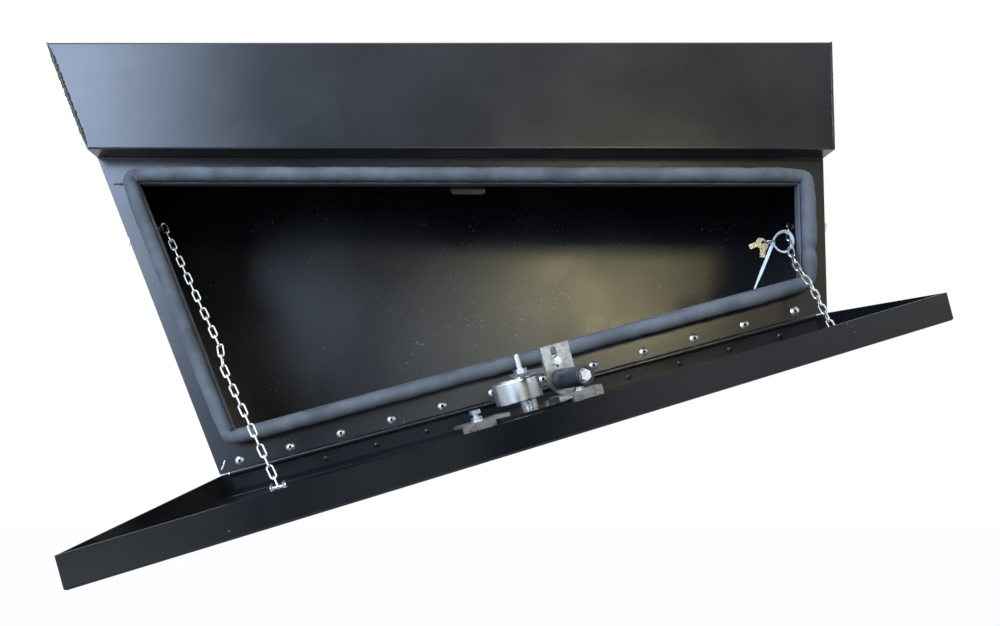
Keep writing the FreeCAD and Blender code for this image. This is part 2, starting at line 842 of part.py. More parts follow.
def t_handle():
    """Folding T-handle: two ears, a flat stem and a round grip across its end."""
    inner = tongue_thickness / 2 + ear_play
    outer = inner + ear_thickness
    low = pivot_height - stem_thickness / 2
    high = pivot_height + stem_thickness / 2
    ears = Part.makeCylinder(ear_radius, 2 * outer, Vector(0, -outer, pivot_height), Y_AXIS)
    stem = block(0, stem_length, -outer, outer, low, high)
    half_grip = grip_length / 2 - grip_radius
    grip_start = Vector(stem_length, -half_grip, pivot_height)
    grip = Part.makeCylinder(grip_radius, 2 * half_grip, grip_start, Y_AXIS)
    tips = [Part.makeSphere(grip_radius, Vector(stem_length, side * half_grip, pivot_height))
            for side in (-1, 1)]
    handle = fuse([ears, stem, grip] + tips)
    slot = block(-ear_radius - 1, tongue_radius + 0.6, -inner, inner,
                 pivot_height - ear_radius - 1, pivot_height + ear_radius + 1)
    hole = Part.makeCylinder(pivot_radius + running_play, 2 * outer + 2,
                             Vector(0, -outer - 1, pivot_height), Y_AXIS)
    seat = disc(barrel_radius + running_play, low - 1, low + barrel_depth, barrel_offset, 0)
    return lock(cut(handle, [slot, hole, seat]))


def key_barrel():
    """Lock barrel in the handle's stem, with a keyway in its outer face."""
    low = pivot_height - stem_thickness / 2 - barrel_proud
    top = low + barrel_depth
    body = disc(barrel_radius, low, top, barrel_offset, 0)
    keyway = block(barrel_offset - keyway_length / 2, barrel_offset + keyway_length / 2,
                   -keyway_width / 2, keyway_width / 2, low - 1, low + 2)
    return lock(body.cut(keyway))


def cam_plate():
    """Flat arm from the spindle with an upturned leg at its end."""
    half = cam_width / 2
    arm = fuse([
        block(0, bracket_reach, -half, half, cam_bottom, cam_top),
        disc(half, cam_bottom, cam_top),
        block(bracket_reach - cam_sheet, bracket_reach, -half, half, cam_bottom, cam_leg_top),
    ])
    bore = disc(spindle_radius, cam_bottom - 1, cam_top + 1)
    bolt = rod(slot_bolt_radius, Vector(bracket_reach - 9, 0, slot_bolt_height),
               Vector(bracket_reach + 9, 0, slot_bolt_height))
    return lock(cut(arm, [bore, bolt]))


def roller_bracket():
    """Slotted plate bolted to the arm's leg, which carries the roller."""
    half = bracket_width / 2
    near = bracket_reach
    far = bracket_reach + bracket_sheet
    round_centre = Vector(near, bracket_shift, bracket_bottom + half)
    plate = fuse([
        block(near, far, bracket_shift - half, bracket_shift + half, round_centre.z, bracket_top),
        rod(half, round_centre, round_centre + X_AXIS * bracket_sheet),
    ])
    reach = slot_length / 2 - slot_width / 2
    slot = fuse([
        block(near - 1, far + 1, -slot_width / 2, slot_width / 2, slot_centre - reach, slot_centre + reach),
        rod(slot_width / 2, Vector(near - 1, 0, slot_centre - reach),
            Vector(far + 1, 0, slot_centre - reach)),
        rod(slot_width / 2, Vector(near - 1, 0, slot_centre + reach),
            Vector(far + 1, 0, slot_centre + reach)),
    ])
    hole = rod(roller_bolt_radius, Vector(near - 1, 0, roller_height), Vector(far + 1, 0, roller_height))
    return lock(cut(plate, [slot, hole]))


def slot_bolt():
    """Bolt through the leg and the slot, with its head on the leg's side."""
    leg_face = bracket_reach - cam_sheet
    end = bracket_reach + bracket_sheet + bolt_nut_height + 1
    return lock(fuse([
        rod(slot_bolt_radius, Vector(leg_face, 0, slot_bolt_height), Vector(end, 0, slot_bolt_height)),
        hexagon(slot_head_width, Vector(leg_face - bolt_head_height, 0, slot_bolt_height),
                X_AXIS, bolt_head_height),
    ]))


def slot_nut():
    """Nut on the slot bolt, over the slot."""
    face = bracket_reach + bracket_sheet
    nut = hexagon(slot_head_width, Vector(face, 0, slot_bolt_height), X_AXIS, bolt_nut_height)
    return lock(nut.cut(rod(slot_bolt_radius, Vector(face - 1, 0, slot_bolt_height),
                            Vector(face + 9, 0, slot_bolt_height))))


# Stations of the roller's pieces along the arm
roller_near = bracket_reach + bracket_sheet + roller_spacer + roller_gap
roller_far = roller_near + roller_length
counterbore_floor = roller_far - counterbore_depth


def latch_roller():
    """Black nylon roller on its bolt, counterbored at its outer end."""
    axis_low = Vector(roller_near, 0, roller_height)
    axis_high = Vector(roller_far, 0, roller_height)
    body = rod(roller_radius, axis_low, axis_high)
    rims = [edge for edge in body.Edges if edge.Curve.TypeId == "Part::GeomCircle"]
    body = body.makeFillet(1.0, rims)
    bore = rod(roller_bolt_radius + running_play, axis_low - X_AXIS, axis_high + X_AXIS)
    mouth = rod(counterbore_radius, Vector(counterbore_floor, 0, roller_height), axis_high + X_AXIS)
    return lock(cut(body, [bore, mouth]))


def roller_bolt():
    """Long bolt that the roller turns on, headed at the outer end."""
    head_low = counterbore_floor + roller_gap + roller_washer_height
    return lock(fuse([
        rod(roller_bolt_radius, Vector(bracket_reach - bolt_nut_height - 1, 0, roller_height),
            Vector(head_low, 0, roller_height)),
        hexagon(bolt_head_width, Vector(head_low, 0, roller_height), X_AXIS, bolt_head_height),
    ]))


def roller_washers():
    """Washer under the bolt's head and spacer between the bracket and the roller."""
    pieces = []
    spans = [
        (counterbore_floor + roller_gap, counterbore_floor + roller_gap + roller_washer_height),
        (bracket_reach + bracket_sheet, roller_near - roller_gap),
    ]
    for low, high in spans:
        ring = rod(roller_washer_radius, Vector(low, 0, roller_height), Vector(high, 0, roller_height))
        hole = rod(roller_bolt_radius, Vector(low - 1, 0, roller_height), Vector(high + 1, 0, roller_height))
        pieces.append(lock(ring.cut(hole)))
    return pieces


def roller_nut():
    """Nut behind the bracket on the roller's bolt."""
    low = bracket_reach - bolt_nut_height
    nut = hexagon(bolt_head_width, Vector(low, 0, roller_height), X_AXIS, bolt_nut_height)
    return lock(nut.cut(rod(roller_bolt_radius, Vector(low - 1, 0, roller_height),
                            Vector(bracket_reach + 1, 0, roller_height))))


def strike_plate():
    """Tab welded behind the top flange, which the closed latch's roller bears on."""
    low = opening_top - channel_leg - strike_drop
    strike_left = (hinge_origin + along * lock_along + upward * lock_up).x - strike_shift
    tab = block(strike_left, strike_left + strike_width, sheet, 2 * sheet, low, opening_top + strike_lap)
    corners = []
    for edge in tab.Edges:
        box = edge.BoundBox
        if box.YLength > sheet / 2 and abs(box.ZMin - low) < 1e-6:
            corners.append(edge)
    return tab.makeFillet(4.0, corners)


# Chain geometry
link_inner = link_pitch + link_play
link_bend = link_width / 2 - wire_radius
link_half = (link_inner + 2 * wire_radius) / 2 - link_bend


def chain_link():
    """One link: a stadium of round wire, long along X and flat in the XY plane."""
    r = link_bend
    h = link_half
    path = Part.Wire([
        Part.LineSegment(Vector(-h, r, 0), Vector(h, r, 0)).toShape(),
        Part.Arc(Vector(h, r, 0), Vector(h + r, 0, 0), Vector(h, -r, 0)).toShape(),
        Part.LineSegment(Vector(h, -r, 0), Vector(-h, -r, 0)).toShape(),
        Part.Arc(Vector(-h, -r, 0), Vector(-h - r, 0, 0), Vector(-h, r, 0)).toShape(),
    ])
    section = Part.Wire(Part.makeCircle(wire_radius, Vector(-h, r, 0), X_AXIS))
    return path.makePipeShell([section], True, False)


def chain(pin, ways):
    """Links that follow a list of directions from a lug's pin, each turned a quarter."""
    one = chain_link()
    links = []
    centre = pin + ways[0] * (link_half + link_bend - wire_radius - lug_pin_radius - lug_pin_play)
    for i, way in enumerate(ways):
        if i > 0:
            centre = centre + ways[i - 1] * link_half + way * (link_pitch - link_half)
        side = (along - way * along.dot(way)).normalize()
        if i % 2 == 1:
            side = way.cross(side)
        links.append((put(one, axes(centre, way, side.cross(way), side)), centre))
    return links


right_lug_along = edge_length - right_lug_end_gap
left_pin = hinge_origin + door_out * left_lug_up + along * left_lug_along
left_pin = left_pin + door_in * (panel_inside + lug_pin_height)
right_pin = hinge_origin + door_out * right_lug_up + along * right_lug_along
right_pin = right_pin + door_in * (panel_inside + lug_pin_height)
left_way = left_chain_way.normalize()
right_way = right_chain_way.normalize()
right_top_way = right_chain_top_way.normalize()
left_ways = [left_way] * left_link_count
right_ways = [right_way] * right_link_count + [right_top_way] * right_top_count
for ways, fold in ((left_ways, left_fold_count), (right_ways, right_fold_count)):
    level = (ways[fold] - along * along.dot(ways[fold])).normalize()
    ways[fold - 1] = level
    ways[fold] = level
left_links = chain(left_pin, left_ways)
right_links = chain(right_pin, right_ways)
left_fold_point = left_links[left_fold_count - 1][1] + left_ways[left_fold_count] * link_half
right_fold_reach = link_half + link_bend
right_fold_point = right_links[right_fold_count - 1][1] + right_ways[right_fold_count] * right_fold_reach

# Bolts in the side walls: their tips stop just short of the top links
left_wall_in = Vector(left_drop, 0, left_foot[0] + half_width).normalize()
left_top = left_links[-1][1] + left_way * (link_half * 0.6)
left_side_reach = link_width / 2 + wire_radius + wall_bolt_gap
left_bolt_tip = left_top - left_wall_in * left_side_reach
wall_gap = (left_top - Vector(-half_width, 0, 0)).dot(left_wall_in)
left_bolt_seat = left_top - left_wall_in * wall_gap
right_top = right_links[-1][1] + right_top_way * (link_half * 0.6)
right_bolt_tip = right_top + X_AXIS * (link_width / 2 + wall_bolt_gap)


def wall_bolt(tip, seat):
    """Bolt through a side wall, headed outside, whose tip reaches the chain's top link."""
    inward = (tip - seat).normalize()
    return fuse([
        rod(wall_bolt_radius, seat, tip),
        hexagon(wall_bolt_head_width, seat - inward * wall_bolt_head_height, inward, wall_bolt_head_height),
    ])


def chain_lug(place_up, place_along):
    """Folded lug on the door's inside: a foot and two ears for the chain's pin."""
    outer = lug_gap / 2 + lug_sheet
    top = panel_inside + lug_pin_height + lug_ear_over
    half = lug_width / 2
    base = block(-half, half, -outer - lug_foot, outer + lug_foot, panel_inside, panel_inside + lug_sheet)
    ears = [
        block(-half, half, lug_gap / 2, outer, panel_inside, top),
        block(-half, half, -outer, -lug_gap / 2, panel_inside, top),
    ]
    hole = Part.makeCylinder(lug_pin_radius, 2 * outer + 2,
                             Vector(0, -outer - 1, panel_inside + lug_pin_height), Y_AXIS)
    lug = fuse([base] + ears).cut(hole)
    lug.translate(Vector(place_up, place_along, 0))
    return put(lug, door_frame)


def lug_pins():
    """Headed pins through the two lugs, one for each chain."""
    pins = []
    outer = lug_gap / 2 + lug_sheet
    for up, place in ((left_lug_up, left_lug_along), (right_lug_up, right_lug_along)):
        height = panel_inside + lug_pin_height
        shank = Part.makeCylinder(lug_pin_radius, 2 * outer, Vector(up, place - outer, height), Y_AXIS)
        heads = [
            Part.makeCylinder(lug_pin_head, lug_pin_head_height,
                              Vector(up, place - outer - lug_pin_head_height, height), Y_AXIS),
            Part.makeCylinder(lug_pin_head, lug_pin_head_height, Vector(up, place + outer, height), Y_AXIS),
        ]
        pins.append(put(fuse([shank] + heads), door_frame))
    return pins


# Tie and keys hang on the upper links of the right chain
kink = right_links[right_link_count - 1][1] + right_way * link_half
tie_centre = kink + right_top_way * tie_station - X_AXIS * tie_shift
ring_centre = tie_centre - X_AXIS * (tie_radius - ring_wire - ring_hang + ring_radius)
key_pivot = ring_centre - X_AXIS * ring_radius


def cable_tie():
    """Nylon tie: loop round the chain, ratchet head and long tail."""
    outer = tie_radius + tie_thickness
    start = tie_centre - Y_AXIS * (tie_width / 2)
    loop = Part.makeCylinder(outer, tie_width, start, Y_AXIS)
    bore = Part.makeCylinder(tie_radius, tie_width, start, Y_AXIS)
    head_centre = tie_centre + Vector(math.cos(tie_head_angle), 0, math.sin(tie_head_angle)) * outer
    half = tie_head_size / 2
    head = block(-half, half, -half * 0.9, half * 0.9, -half, half)
    head.translate(head_centre)
    window = Part.makeCylinder(tie_radius, 2 * tie_head_size, tie_centre - Y_AXIS * tie_head_size, Y_AXIS)
    head = head.cut(window)
    tail_way = tie_tail_way.normalize()
    tail_side = tail_way.cross(Y_AXIS).normalize()
    tail = block(-tie_thickness / 2, tie_thickness / 2, -tie_width / 2, tie_width / 2, 0, tie_tail_length)
    tail = put(tail, axes(head_centre, tail_side, tail_way.cross(tail_side), tail_way))
    return fuse([loop.cut(bore), head, tail])


def key_ring():
    """Wire ring through the tie's loop."""
    return Part.makeTorus(ring_radius, ring_wire, ring_centre, Z_AXIS)


def keys():
    """Two flat keys side by side on the ring, one swung out to the left."""
    pieces = []
    for step, swing in zip((-1, 1), key_swings):
        y = key_pivot.y + step * (key_thickness + key_gap) / 2 - key_thickness / 2
        eye = key_pivot - Z_AXIS * (key_hole_radius - ring_wire - 0.1)
        bow_centre = Vector(eye.x, y, eye.z - key_bow_radius + key_hole_radius + 1.5)
        bow = Part.makeCylinder(key_bow_radius, key_thickness, bow_centre, Y_AXIS)
        half = key_blade_width / 2
        low = bow_centre.z - key_bow_radius - key_blade_length
        blade = block(eye.x - half, eye.x + half, y, y + key_thickness, low, bow_centre.z)
        hole = Part.makeCylinder(key_hole_radius, key_thickness + 2, Vector(eye.x, y - 1, eye.z), Y_AXIS)
        key = fuse([bow, blade]).cut(hole)
        key.rotate(key_pivot, Y_AXIS, swing)
        pieces.append(key)
    return pieces


os.makedirs("parts", exist_ok=True)
save("left_side_panel", left_side_panel())
save("right_side_panel", right_side_panel())
save("floor_panel", floor_panel())
save("hood_panel", hood_panel())
save("back_panel", back_panel())
save("weld_beads", weld_beads())
save("door_seal", door_seal())
save("frame_hinge_leaf",
     put(hinge_leaf(0, rivet_places(frame_rivet_first, frame_rivet_count)), edge_frame))
save("hinge_pin", hinge_pin())
save("frame_rivets", frame_rivets())
save("strike_plate", strike_plate())
save("left_chain_bolt", wall_bolt(left_bolt_tip, left_bolt_seat))
save("right_chain_bolt", wall_bolt(right_bolt_tip, Vector(half_width, right_bolt_tip.y, right_bolt_tip.z)))
save("door_tray", door_tray())
save("door_hinge_leaf", door_hinge_leaf())
save("door_rivets", door_rivets())
save("left_chain_lug", chain_lug(left_lug_up, left_lug_along))
save("right_chain_lug", chain_lug(right_lug_up, right_lug_along))
save("chain_lug_pins", lug_pins())
save("latch_dish", latch_dish())
save("latch_gasket", latch_gasket())
save("latch_sleeve", latch_sleeve())
save("clamp_claws", clamp_claws())
save("clamp_screws", clamp_screws())
save("clamp_nuts", clamp_nuts())
save("spring_drum", spring_drum())
save("drum_cap", drum_cap())
save("latch_spring", latch_spring())
save("index_washer", index_washer())
save("latch_spindle", latch_spindle())
save("spindle_nut", spindle_nut())
save("cam_plate", cam_plate())
save("roller_bracket", roller_bracket())
save("slot_bolt", slot_bolt())
save("slot_nut", slot_nut())
save("roller_bolt", roller_bolt())
save("roller_nut", roller_nut())
save("roller_washers", roller_washers())
save("latch_roller", latch_roller())
save("handle_pivot_pin", handle_pivot_pin())
save("t_handle", t_handle())
save("key_barrel", key_barrel())
save("left_chain_lower", [link for link, centre in left_links[:left_fold_count]])
save("left_chain_upper", [link for link, centre in left_links[left_fold_count:]])
save("right_chain_lower", [link for link, centre in right_links[:right_fold_count]])
save("right_chain_upper", [link for link, centre in right_links[right_fold_count:]])
save("cable_tie", cable_tie())
save("key_ring", key_ring())
save("keys", keys())


def report(name, point, way):
    """Print a joint's place in metres and its axis."""
    print(name, [round(value / 1000, 6) for value in point], [round(value, 6) for value in way])


report("door_hinge", hinge_origin, along)
report("left_chain_lower", left_pin, along)
report("left_chain_upper", left_fold_point, along)
report("right_chain_lower", right_pin, along)
report("right_chain_upper", right_fold_point, along)
report("latch_turn", lock_origin, door_in)
report("handle_fold", lock_origin + door_in * pivot_height, cross_way)
report("key_turn", lock_origin + arm_way * barrel_offset, door_in)
report("roller_spin", lock_origin + door_in * roller_height, arm_way)
report("keys_swing", key_pivot, Y_AXIS)
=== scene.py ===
# %% [markdown]
# # Underbody tool box: looks
# This is a steel box that hangs under the tray of a truck. Its door is folded down on two
# chains, and a T-handle lock sits in the door. The solids come packed, as a fixed frame, in
# metres: X to the right, Y into the box, Z up. This lesson gives every solid its finish. It
# then rebuilds the soft and hand-made pieces, which a solid can't show well: the door seal,
# the weld beads, the nylon tie and the lock's gasket. Last come the light and the camera.

# %% Load the frame
import bpy
import bmesh
import math
from mathutils import Euler, Matrix, Vector


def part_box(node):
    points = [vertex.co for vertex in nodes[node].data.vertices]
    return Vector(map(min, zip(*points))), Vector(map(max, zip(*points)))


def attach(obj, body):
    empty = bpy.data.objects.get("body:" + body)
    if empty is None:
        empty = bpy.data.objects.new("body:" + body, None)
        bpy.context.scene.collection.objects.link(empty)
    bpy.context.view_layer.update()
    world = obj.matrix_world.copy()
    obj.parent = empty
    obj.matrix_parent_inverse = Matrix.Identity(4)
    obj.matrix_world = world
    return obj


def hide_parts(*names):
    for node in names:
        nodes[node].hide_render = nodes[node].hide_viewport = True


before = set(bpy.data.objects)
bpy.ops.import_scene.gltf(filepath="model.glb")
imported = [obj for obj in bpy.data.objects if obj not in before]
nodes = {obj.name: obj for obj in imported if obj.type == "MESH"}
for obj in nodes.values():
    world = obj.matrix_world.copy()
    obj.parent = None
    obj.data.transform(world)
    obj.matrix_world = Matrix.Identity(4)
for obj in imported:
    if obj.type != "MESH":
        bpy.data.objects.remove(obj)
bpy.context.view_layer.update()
mm = 0.001
print("nodes loaded:", len(nodes))

# %% [markdown]
# ## Helpers for materials
# A paint maker names a colour by its hex code, as it looks on a screen. A shader wants linear
# light instead, so one function turns the one into the other. A second function adds a node
# with its settings and links. Each material below could be built by hand in the node editor,
# but in code its sizes and colours can be read and changed. A third function turns a real
# size in millimetres into the scale that a pattern node wants.

# %% Colours and sizes


def colour(code):
    """Linear RGBA of an sRGB hex colour."""
    channels = [int(code[i:i + 2], 16) / 255 for i in (1, 3, 5)]
    linear = [c / 12.92 if c <= 0.04045 else ((c + 0.055) / 1.055) ** 2.4 for c in channels]
    return (*linear, 1.0)


def per(size_mm):
    """Scale of a pattern whose blobs or cells are about this many millimetres across."""
    return 1 / (size_mm * mm)


print("mid grey in linear light:", round(colour("#808080")[0], 3))

# %% Nodes


def add(tree, kind, settings=None, **inputs):
    """Add a node. Inputs are values, or sockets to link from; stops are a ramp's colours."""
    node = tree.nodes.new(kind)
    for key, value in (settings or {}).items():
        if key == "stops":
            for element, (position, tint) in zip(node.color_ramp.elements, value):
                element.position = position
                element.color = tint
        else:
            setattr(node, key, value)
    for key, value in inputs.items():
        numbered = key[0] == "i" and key[1:].isdigit()
        socket = node.inputs[int(key[1:]) if numbered else key.replace("_", " ")]
        if isinstance(value, bpy.types.NodeSocket):
            tree.links.new(value, socket)
        else:
            socket.default_value = value
    return node


def blank_material(name):
    """A material without nodes, its node tree, and the object's own coordinates."""
    material = bpy.data.materials.new(name)
    material.use_nodes = True
    tree = material.node_tree
    tree.nodes.clear()
    return material, tree, add(tree, "ShaderNodeTexCoord").outputs["Object"]


print("node helpers ready")

# %% [markdown]
# ## Black powder coat
# The sheet steel is black powder coat: a polyester powder, sprayed on dry and melted in an
# oven. It flows together but not quite flat, so the eye sees a satin black with a fine orange
# peel, and gloss that changes slowly over a hand's width. Dust from the workshop lies on it as
# pale flecks. A picture of real paint could be laid over it, but it would show its seams.
# Noise in the object's own coordinates has none, and keeps its size on every sheet. The real
# peel is under a tenth of a millimetre deep and about 1 mm wide. It is drawn 3 mm wide, so
# that it shows. The door's coat is fresher and glossier, and the back wall has the most dust.

# %% Powder coat


def black_powder_coat(name, tint="#15171b", gloss=0.26, dust=0.95, shine=0.5):
    """Satin black paint. A lower dust level gives more flecks."""
    material, tree, where = blank_material(name)
    cloud, grain, peel, speck, patches = (
        add(tree, "ShaderNodeTexNoise", Vector=where, Scale=per(size), Detail=detail,
            Roughness=rough).outputs["Fac"]
        for size, detail, rough in ((130, 3.0, 0.5), (1.5, 2.0, 0.55), (3.2, 1.0, 0.4),
                                    (2.6, 0.0, 0.5), (45, 1.0, 0.5)))
    patchy = add(tree, "ShaderNodeMapRange", Value=patches, From_Min=0.3, From_Max=0.7,
                 To_Min=0.9, To_Max=1.12).outputs[0]
    flecks = add(tree, "ShaderNodeMath", {"operation": "MULTIPLY"}, i0=speck, i1=patchy).outputs[0]
    dusty = add(tree, "ShaderNodeValToRGB", {"stops": [(dust, (0, 0, 0, 1)),
                (dust + 0.03, (0.55, 0.55, 0.55, 1))]}, Fac=flecks).outputs["Color"]
    paint = add(tree, "ShaderNodeValToRGB", {"stops": [(0.3, colour(tint)),
                (0.7, colour("#1b1d21"))]}, Fac=cloud).outputs["Color"]
    mixed = add(tree, "ShaderNodeMix", {"data_type": "RGBA"}, i0=dusty, A=paint,
                B=colour("#8f959b")).outputs["Result"]
    satin = add(tree, "ShaderNodeMapRange", Value=cloud, From_Min=0.3, From_Max=0.7,
                To_Min=gloss - 0.03, To_Max=gloss + 0.06).outputs[0]
    fine = add(tree, "ShaderNodeBump", Height=grain, Distance=0.012 * mm, Strength=0.6).outputs[0]
    orange = add(tree, "ShaderNodeBump", Height=peel, Distance=0.03 * mm, Strength=0.6,
                 Normal=fine).outputs[0]
    shader = add(tree, "ShaderNodeBsdfPrincipled", Base_Color=mixed, Roughness=satin,
                 Specular_IOR_Level=shine, Normal=orange)
    add(tree, "ShaderNodeOutputMaterial", i0=shader.outputs[0])
    return material


powder_coat = black_powder_coat("black_powder_coat")
leaf_coat = black_powder_coat("black_leaf_coat", "#17171a", 0.24)
wall_coat = black_powder_coat("dusty_wall_coat", "#131519", 0.26, 0.865)
door_coat = black_powder_coat("glossier_door_coat", "#101317", 0.19, 0.95, 0.3)
print("coats:", [coat.name for coat in (powder_coat, leaf_coat, wall_coat, door_coat)])

# %% [markdown]
# ## Plated steel
# The lock, the bolts and the chains are zinc-plated steel: bare steel, dipped in a bath where
# a current lays the zinc on. It gives the eye a soft, slightly blue metal with a cloudy sheen.
# The bracket and claws are galvanised sheet, whose coarser zinc crystals show as grey
# spangles. The keys are nickel-plated brass, and the stubs in the rivets are dark drawn steel.
# All of them are a pure metal in the shader, and only the colour, the gloss and the crystals
# differ. So one function makes them all. The crystals are the cells of a Voronoi pattern. Real
# ones on electroplated zinc are far too fine to see, and these are drawn 1 to 2.5 mm wide so
# that the gloss breaks up as it does on the real pieces.

# %% Zinc, nickel and dark steel


def plated_steel(name, bright, dark, gloss, crystal_mm, depth_mm):
    """A metal whose colour, gloss and height change from crystal to crystal."""
    material, tree, where = blank_material(name)
    cells = add(tree, "ShaderNodeTexVoronoi", Vector=where, Scale=per(crystal_mm)).outputs["Color"]
    crystal = add(tree, "ShaderNodeSeparateColor", Color=cells).outputs[0]
    cloud = add(tree, "ShaderNodeTexNoise", Vector=where, Scale=per(12), Detail=3.0,
                Roughness=0.5).outputs["Fac"]
    crystals = add(tree, "ShaderNodeMapRange", Value=crystal, From_Min=0, From_Max=1,
                   To_Min=0.0, To_Max=0.45).outputs[0]
    clouds = add(tree, "ShaderNodeMapRange", Value=cloud, From_Min=0.3, From_Max=0.7,
                 To_Min=0.0, To_Max=0.55).outputs[0]
    both = add(tree, "ShaderNodeMath", {"operation": "ADD"}, i0=crystals, i1=clouds).outputs[0]
    metal = add(tree, "ShaderNodeValToRGB", {"stops": [(0.1, colour(dark)),
                (0.75, colour(bright))]}, Fac=both).outputs["Color"]
    sheen = add(tree, "ShaderNodeMapRange", Value=both, From_Min=0.1, From_Max=0.9,
                To_Min=gloss + 0.12, To_Max=gloss - 0.05).outputs[0]
    relief = add(tree, "ShaderNodeBump", Height=both, Distance=depth_mm * mm,
                 Strength=0.5).outputs[0]
    shader = add(tree, "ShaderNodeBsdfPrincipled", Base_Color=metal, Metallic=1.0,
                 Roughness=sheen, Normal=relief)
    add(tree, "ShaderNodeOutputMaterial", i0=shader.outputs[0])
    return material


zinc = plated_steel("zinc_plated_steel", "#eef3f7", "#c8d1d9", 0.28, 2.5, 0.02)
galvanised = plated_steel("galvanised_bracket", "#c2c8cb", "#8a9195", 0.34, 1.6, 0.03)
chain_zinc = plated_steel("bright_chain", "#e3e4e2", "#b3b3b0", 0.22, 1.2, 0.01)
nickel = plated_steel("nickel_key", "#b4b7b7", "#777c7e", 0.24, 2.0, 0.01)
mandrel_steel = plated_steel("mandrel_steel", "#17181a", "#08090a", 0.5, 1.0, 0.01)
print("plated metals:", [m.name for m in (zinc, galvanised, chain_zinc, nickel, mandrel_steel)])

# %% [markdown]
# ## Rivet aluminium
# The blind rivets are aluminium, headed in a press and tumbled, which leaves a pale satin
# metal with a fine, even grain. Crystals would look wrong here, so the colour and the gloss
# follow a small cloud instead. The real grain is about 0.1 mm and is drawn as 0.4 mm.

# %% Aluminium


def satin_aluminium():
    """Tumbled aluminium for the blind rivets."""
    material, tree, where = blank_material("satin_aluminium")
    cloud, grain = (
        add(tree, "ShaderNodeTexNoise", Vector=where, Scale=per(size), Detail=detail,
            Roughness=0.5).outputs["Fac"]
        for size, detail in ((2.2, 3.0), (0.4, 2.0)))
    metal = add(tree, "ShaderNodeValToRGB", {"stops": [(0.3, colour("#b9bdc1")),
                (0.7, colour("#e6e8e9"))]}, Fac=cloud).outputs["Color"]
    satin = add(tree, "ShaderNodeMapRange", Value=cloud, From_Min=0.3, From_Max=0.7,
                To_Min=0.28, To_Max=0.42).outputs[0]
    relief = add(tree, "ShaderNodeBump", Height=grain, Distance=0.01 * mm, Strength=0.6).outputs[0]
    shader = add(tree, "ShaderNodeBsdfPrincipled", Base_Color=metal, Metallic=1.0,
                 Roughness=satin, Normal=relief)
    add(tree, "ShaderNodeOutputMaterial", i0=shader.outputs[0])
    return material


aluminium = satin_aluminium()
print("rivets:", aluminium.name)

# %% [markdown]
# ## Sponge rubber
# The door seal is extruded sponge rubber, black when new. Dust and daylight have turned its
# skin blue grey, with paler patches where hands wiped it, so the eye sees a broad, dull sheen
# and no clear reflection. A plain grey would look like plastic. Here a cloud drives both
# colour and gloss, a little sheen stands for the dust, and a bump makes the open grain. The
# real pores are about half a millimetre wide and are drawn as 1.1 mm. The gasket under the
# lock's flange is the same rubber, cleaner and darker.

# %% Rubber


def sponge_rubber(name, tint, pale, rough):
    """Dusty sponge rubber with a grain and shallow dents."""
    material, tree, where = blank_material(name)
    cloud, grain, dent = (
        add(tree, "ShaderNodeTexNoise", Vector=where, Scale=per(size), Detail=detail,
            Roughness=uneven).outputs["Fac"]
        for size, detail, uneven in ((38, 4.0, 0.6), (1.1, 3.0, 0.65), (14, 2.0, 0.5)))
    rubber = add(tree, "ShaderNodeValToRGB", {"stops": [(0.32, colour(tint)),
                 (0.68, colour(pale))]}, Fac=cloud).outputs["Color"]
    dull = add(tree, "ShaderNodeMapRange", Value=cloud, From_Min=0.3, From_Max=0.7,
               To_Min=rough, To_Max=rough + 0.14).outputs[0]
    dents = add(tree, "ShaderNodeBump", Height=dent, Distance=0.25 * mm, Strength=0.5).outputs[0]
    pores = add(tree, "ShaderNodeBump", Height=grain, Distance=0.07 * mm, Strength=0.8,
                Normal=dents).outputs[0]
    shader = add(tree, "ShaderNodeBsdfPrincipled", Base_Color=rubber, Roughness=dull,
                 Specular_IOR_Level=0.35, Sheen_Weight=0.2, Sheen_Roughness=0.5,
                 Sheen_Tint=colour("#b4bac2"), Normal=pores)
    add(tree, "ShaderNodeOutputMaterial", i0=shader.outputs[0])
    return material


seal_rubber = sponge_rubber("seal_rubber", "#4d5257", "#70757b", 0.66)
gasket_rubber = sponge_rubber("gasket_rubber", "#1c1d1f", "#2a2c2f", 0.6)
print("rubbers:", seal_rubber.name, gasket_rubber.name)

# %% [markdown]
# ## Moulded nylon
# The roller and the cable tie are nylon, moulded in polished steel. The roller is dyed black
# and has a soft gloss. The tie is undyed: pale, milky, and a little light passes into it. So
# the same function makes both, and only the tie gets light scattered under its surface. The
# flow marks of the mould are too faint to see, and are drawn as a bump of 0.9 mm blobs.

# %% Nylon


def moulded_nylon(name, tint, pale, rough, milky=0.0):
    """Moulded nylon; milky is how much light scatters inside."""
    material, tree, where = blank_material(name)
    cloud, flow = (
        add(tree, "ShaderNodeTexNoise", Vector=where, Scale=per(size), Detail=detail,
            Roughness=0.5).outputs["Fac"]
        for size, detail in ((9, 3.0), (0.9, 2.0)))
    plastic = add(tree, "ShaderNodeValToRGB", {"stops": [(0.3, colour(tint)),
                  (0.7, colour(pale))]}, Fac=cloud).outputs["Color"]
    gloss = add(tree, "ShaderNodeMapRange", Value=cloud, From_Min=0.3, From_Max=0.7,
                To_Min=rough, To_Max=rough + 0.1).outputs[0]
    marks = add(tree, "ShaderNodeBump", Height=flow, Distance=0.02 * mm, Strength=0.5).outputs[0]
    shader = add(tree, "ShaderNodeBsdfPrincipled", Base_Color=plastic, Roughness=gloss,
                 Subsurface_Weight=milky, Subsurface_Radius=(2 * mm, 2 * mm, 2 * mm),
                 Normal=marks)
    add(tree, "ShaderNodeOutputMaterial", i0=shader.outputs[0])
    return material


black_nylon = moulded_nylon("black_nylon", "#262c34", "#39424c", 0.28)
pale_nylon = moulded_nylon("pale_nylon", "#c6d8e4", "#dfeaf1", 0.36, 0.3)
print("nylons:", black_nylon.name, pale_nylon.name)

